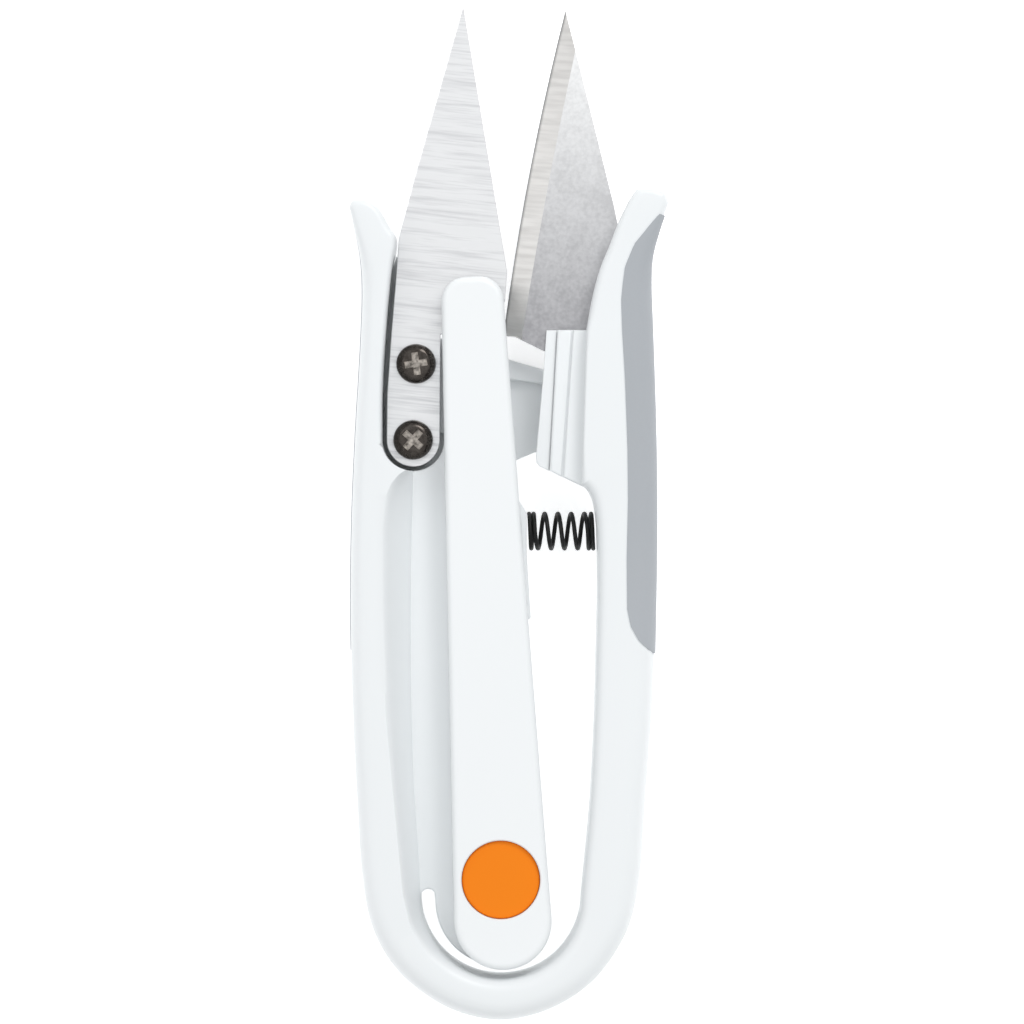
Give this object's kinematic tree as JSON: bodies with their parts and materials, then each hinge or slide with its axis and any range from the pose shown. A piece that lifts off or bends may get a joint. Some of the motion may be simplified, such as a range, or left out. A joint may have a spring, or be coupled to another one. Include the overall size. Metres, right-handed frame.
{
  "type": "thread snips",
  "caption": "Sprung thread snips: two pointed blades in a U-shaped one-hand handle with soft grips, a swinging keeper lever and a pivot button.",
  "frame": {"origin": "centre of the outline on the plane that the back rests on", "axes": "+Y towards the blade tips, +Z out of the front that carries the keeper lever, +X towards the moving arm"},
  "size_m": [0.0377, 0.12, 0.013],
  "materials": {
    "white_plastic": "satin moulded white",
    "lever_plastic": "satin moulded white",
    "grip_rubber": "soft matt grey",
    "ground_steel": "ground across the blade",
    "blasted_steel": "fine matt face with a ground bevel",
    "screw_metal": "dark nickel plated",
    "pin_steel": "plain",
    "orange_plastic": "satin orange",
    "spring_black": "black coated wire"
  },
  "bodies": {
    "fixed_half": {"left_handle": "white_plastic", "left_grip": "grip_rubber", "left_blade": "ground_steel", "left_blade_screws": "screw_metal", "pivot_pin": "pin_steel", "pivot_washer": "pin_steel", "return_spring": "spring_black"},
    "moving_arm": {"right_handle": "white_plastic", "right_grip": "grip_rubber", "right_blade": "blasted_steel", "right_blade_screws": "screw_metal"},
    "keeper_lever": {"lever": "lever_plastic", "pivot_cap": "orange_plastic"}
  },
  "joints": [
    {"name": "squeeze", "type": "hinge", "parent": "fixed_half", "child": "moving_arm", "pos_m": [-0.001, -0.0528, 0.0065], "axis": [0, 0, 1], "range_deg": [0, 6.2], "stiffness_Nm_per_rad": 2.8, "springref_deg": -2.06, "deforming": ["return_spring"]},
    {"name": "lever_swing", "type": "hinge", "parent": "fixed_half", "child": "keeper_lever", "pos_m": [-0.00089, -0.04332, 0.0095], "axis": [0, 0, 1], "range_deg": [0, 4]}
  ]
}
